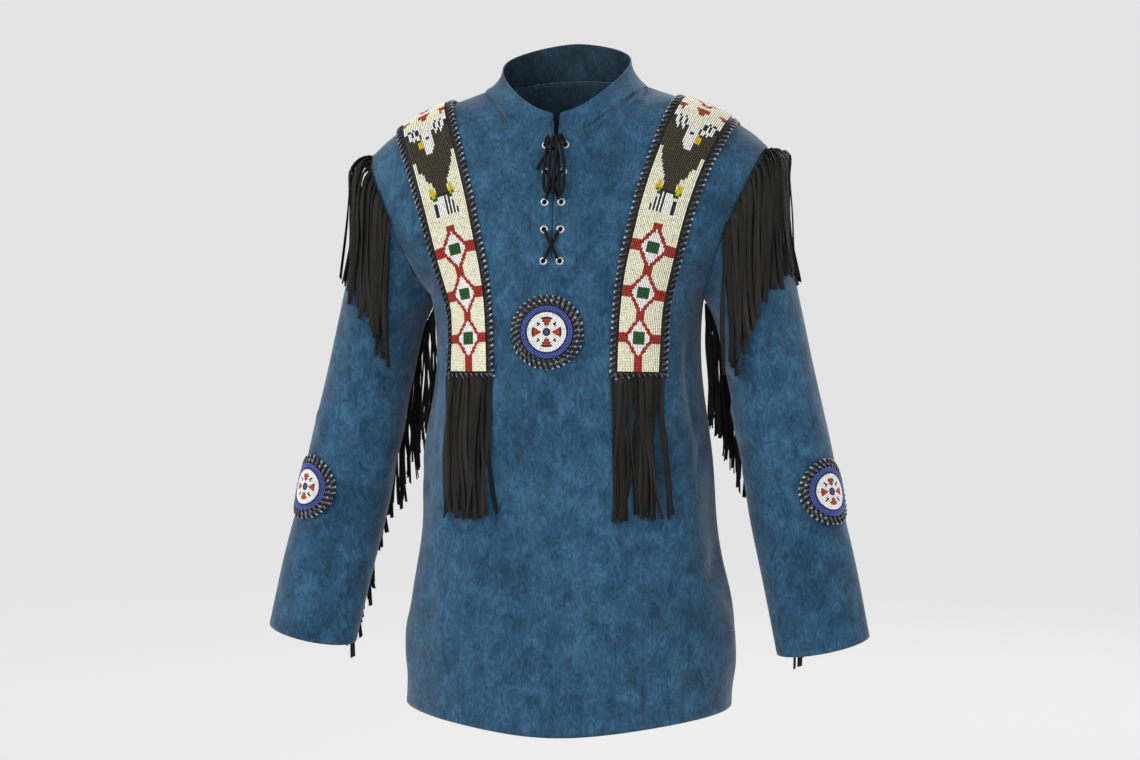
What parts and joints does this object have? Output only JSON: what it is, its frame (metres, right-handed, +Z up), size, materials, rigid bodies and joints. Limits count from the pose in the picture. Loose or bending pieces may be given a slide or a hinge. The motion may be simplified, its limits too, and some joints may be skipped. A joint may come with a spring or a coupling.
{
  "type": "fringe shirt",
  "caption": "Blue suede pull-over shirt with a laced neck, beaded shoulder strips, round beaded patches, and black fringe at armholes, sleeves and chest.",
  "frame": {"origin": "in the neck opening, level with the shoulders' highest seams, on the shirt's middle plane", "axes": "+Z up from hem to neck, -Y out of the chest, +X towards the wearer's left sleeve"},
  "size_m": [0.75, 0.2608, 0.85],
  "materials": {
    "blue_suede": "napped suede",
    "black_leather": "soft black leather",
    "seed_beads": "opaque glass seed beads, sewn close in rows",
    "black_lace": "round suede lace",
    "eyelet_steel": "bright nickel"
  },
  "bodies": {
    "root": {"front": "blue_suede", "side_front_left": "blue_suede", "side_front_right": "blue_suede", "back": "blue_suede", "collar": "blue_suede", "sleeve_left": "blue_suede", "sleeve_right": "blue_suede", "strip_base_left": "black_leather", "strip_base_right": "black_leather", "strip_fringe_left": "black_leather", "strip_fringe_right": "black_leather", "armhole_fringe_left": "black_leather", "armhole_fringe_right": "black_leather", "sleeve_fringe_left": "black_leather", "sleeve_fringe_right": "black_leather", "sleeve_rosette_base_left": "black_leather", "sleeve_rosette_base_right": "black_leather", "chest_rosette_base": "black_leather", "strip_beadwork_left": "seed_beads", "strip_beadwork_right": "seed_beads", "sleeve_rosette_beadwork_left": "seed_beads", "sleeve_rosette_beadwork_right": "seed_beads", "chest_rosette_beadwork": "seed_beads", "lace_cross_low_under": "black_lace", "lace_cross_low_over": "black_lace", "lace_cross_high_under": "black_lace", "lace_cross_high_over": "black_lace", "lace_end_left": "black_lace", "lace_end_right": "black_lace", "eyelet_left_1": "eyelet_steel", "eyelet_left_2": "eyelet_steel", "eyelet_left_3": "eyelet_steel", "eyelet_left_4": "eyelet_steel", "eyelet_left_5": "eyelet_steel", "eyelet_right_1": "eyelet_steel", "eyelet_right_2": "eyelet_steel", "eyelet_right_3": "eyelet_steel", "eyelet_right_4": "eyelet_steel", "eyelet_right_5": "eyelet_steel"}
  },
  "joints": []
}
